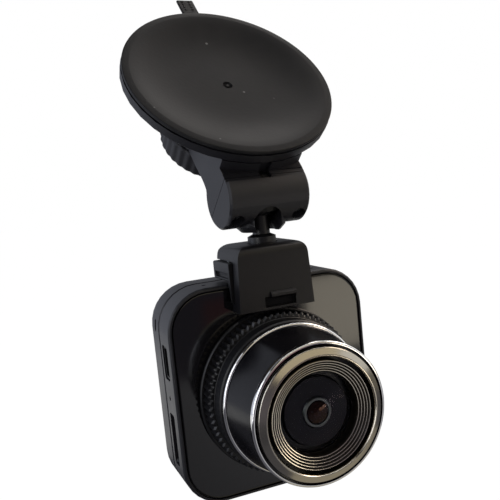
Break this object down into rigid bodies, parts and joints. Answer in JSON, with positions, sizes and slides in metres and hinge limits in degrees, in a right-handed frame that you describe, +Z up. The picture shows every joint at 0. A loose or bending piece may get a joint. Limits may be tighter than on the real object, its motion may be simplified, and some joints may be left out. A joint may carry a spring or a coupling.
{
  "type": "dash camera with suction mount",
  "caption": "Square dash camera with a protruding lens, hanging by a slide-on shoe and ball joint from a quarter-turn suction cup for a windscreen",
  "frame": {"origin": "centre of the suction cup's sealing rim, in the plane of the rim", "axes": "+Z up with the camera hanging level, the lens looks along -Y, +X to the right seen from the front"},
  "size_m": [0.0528, 0.0589, 0.1252],
  "materials": {
    "shell_plastic": "satin moulded plastic, dark grey",
    "mount_plastic": "fine satin moulded plastic, near black",
    "black_plastic": "satin black moulded plastic",
    "gloss_panel": "polished black panel",
    "cup_rubber": "soft grey-black rubber, slightly dusty",
    "chrome_trim": "bright plated rings",
    "satin_bronze": "satin warm anodised rings",
    "lens_glass": "coated glass with a blue-green sheen",
    "steel": "plain machined steel",
    "circuit_board": "green solder mask on board laminate"
  },
  "bodies": {
    "cup_mount": {"arm_housing": "mount_plastic", "suction_cup": "cup_rubber", "ball_clamp": "mount_plastic", "clamp_screw_left": "steel", "clamp_screw_right": "steel", "cup_spring": "steel"},
    "knob_body": {"lock_knob": "mount_plastic"},
    "pull_rod_body": {"pull_rod": "steel", "cam_pin": "steel"},
    "upper_seat_body": {"ball_seat_upper": "black_plastic"},
    "lower_seat_body": {"ball_seat_lower": "black_plastic"},
    "stud_body": {"mount_shoe": "mount_plastic", "ball_stud": "mount_plastic", "stud_screw": "steel", "latch_pin": "steel", "latch_spring": "steel"},
    "latch_body": {"release_latch": "mount_plastic"},
    "camera_body": {"front_housing": "shell_plastic", "rear_housing": "shell_plastic", "mount_rail": "mount_plastic", "front_panel": "gloss_panel", "lens_grip_ring": "black_plastic", "lens_trim_ring": "chrome_trim", "lens_barrel": "black_plastic", "lens_front_ring": "chrome_trim", "lens_bezel_cone": "satin_bronze", "lens_ridge_ring": "satin_bronze", "front_glass": "lens_glass", "lens_cell": "black_plastic", "iris_ring": "satin_bronze", "inner_lens": "lens_glass", "rear_lens_group": "black_plastic", "image_sensor": "lens_glass", "sensor_board": "circuit_board", "main_board": "circuit_board", "battery_cell": "steel", "speaker": "black_plastic", "microphone": "steel", "power_inlet_shell": "steel", "power_inlet_tongue": "black_plastic", "card_socket": "steel", "reset_switch": "steel", "display_panel": "gloss_panel", "display_window": "gloss_panel", "key_board_left": "circuit_board", "key_board_right": "circuit_board", "housing_screw_1": "steel", "housing_screw_2": "steel", "housing_screw_3": "steel", "housing_screw_4": "steel"},
    "card_body": {"memory_card": "black_plastic"},
    "reset_body": {"reset_button": "black_plastic"},
    "power_button_body": {"power_button": "black_plastic"},
    "menu_button_body": {"menu_button": "black_plastic"},
    "up_button_body": {"up_button": "black_plastic"},
    "ok_button_body": {"ok_button": "black_plastic"},
    "down_button_body": {"down_button": "black_plastic"}
  },
  "joints": [
    {"name": "knob_turn", "type": "hinge", "parent": "cup_mount", "child": "knob_body", "pos_m": [-0.00094, 0.01488, -0.01333], "axis": [0.0468, -0.744, 0.6665], "range_deg": [0, 90]},
    {"name": "cup_pull", "type": "slide", "parent": "cup_mount", "child": "pull_rod_body", "axis": [-0.0468, 0.744, -0.6665], "range_m": [0, 0.0012]},
    {"name": "arm_tilt", "type": "hinge", "parent": "cup_mount", "child": "upper_seat_body", "pos_m": [0.00054, -0.00862, -0.02917], "axis": [0.998, 0.0628, 0], "range_deg": [-38, 6]},
    {"name": "arm_roll", "type": "hinge", "parent": "upper_seat_body", "child": "lower_seat_body", "pos_m": [0.00054, -0.00862, -0.02917], "axis": [-0.0628, 0.998, 0], "range_deg": [-4, 4]},
    {"name": "camera_swivel", "type": "hinge", "parent": "lower_seat_body", "child": "stud_body", "pos_m": [0.00054, -0.00862, -0.02917], "axis": [0, 0, 1], "continuous": true},
    {"name": "latch_press", "type": "hinge", "parent": "stud_body", "child": "latch_body", "pos_m": [-0.00756, -0.00662, -0.04682], "axis": [0, 0, 1], "range_deg": [0, 8], "stiffness_Nm_per_rad": 0.02, "springref_deg": -8.59},
    {"name": "rail_slide", "type": "slide", "parent": "stud_body", "child": "camera_body", "axis": [0, 1, 0], "range_m": [0, 0.006]},
    {"name": "card_slide", "type": "slide", "parent": "camera_body", "child": "card_body", "axis": [-1, 0, 0], "range_m": [-0.0008, 0.012]},
    {"name": "reset_press", "type": "slide", "parent": "camera_body", "child": "reset_body", "axis": [1, 0, 0], "range_m": [0, 0.0003], "stiffness_N_per_m": 400, "springref_m": -0.0005},
    {"name": "power_press", "type": "slide", "parent": "camera_body", "child": "power_button_body", "axis": [0, -1, 0], "range_m": [0, 0.0005], "stiffness_N_per_m": 500, "springref_m": -0.0006},
    {"name": "menu_press", "type": "slide", "parent": "camera_body", "child": "menu_button_body", "axis": [0, -1, 0], "range_m": [0, 0.0005], "stiffness_N_per_m": 500, "springref_m": -0.0006},
    {"name": "up_press", "type": "slide", "parent": "camera_body", "child": "up_button_body", "axis": [0, -1, 0], "range_m": [0, 0.0005], "stiffness_N_per_m": 500, "springref_m": -0.0006},
    {"name": "ok_press", "type": "slide", "parent": "camera_body", "child": "ok_button_body", "axis": [0, -1, 0], "range_m": [0, 0.0005], "stiffness_N_per_m": 500, "springref_m": -0.0006},
    {"name": "down_press", "type": "slide", "parent": "camera_body", "child": "down_button_body", "axis": [0, -1, 0], "range_m": [0, 0.0005], "stiffness_N_per_m": 500, "springref_m": -0.0006}
  ],
  "couplings": [
    {"joint": "cup_pull", "follows": "knob_turn", "m_per_rad": 0.00076394}
  ]
}
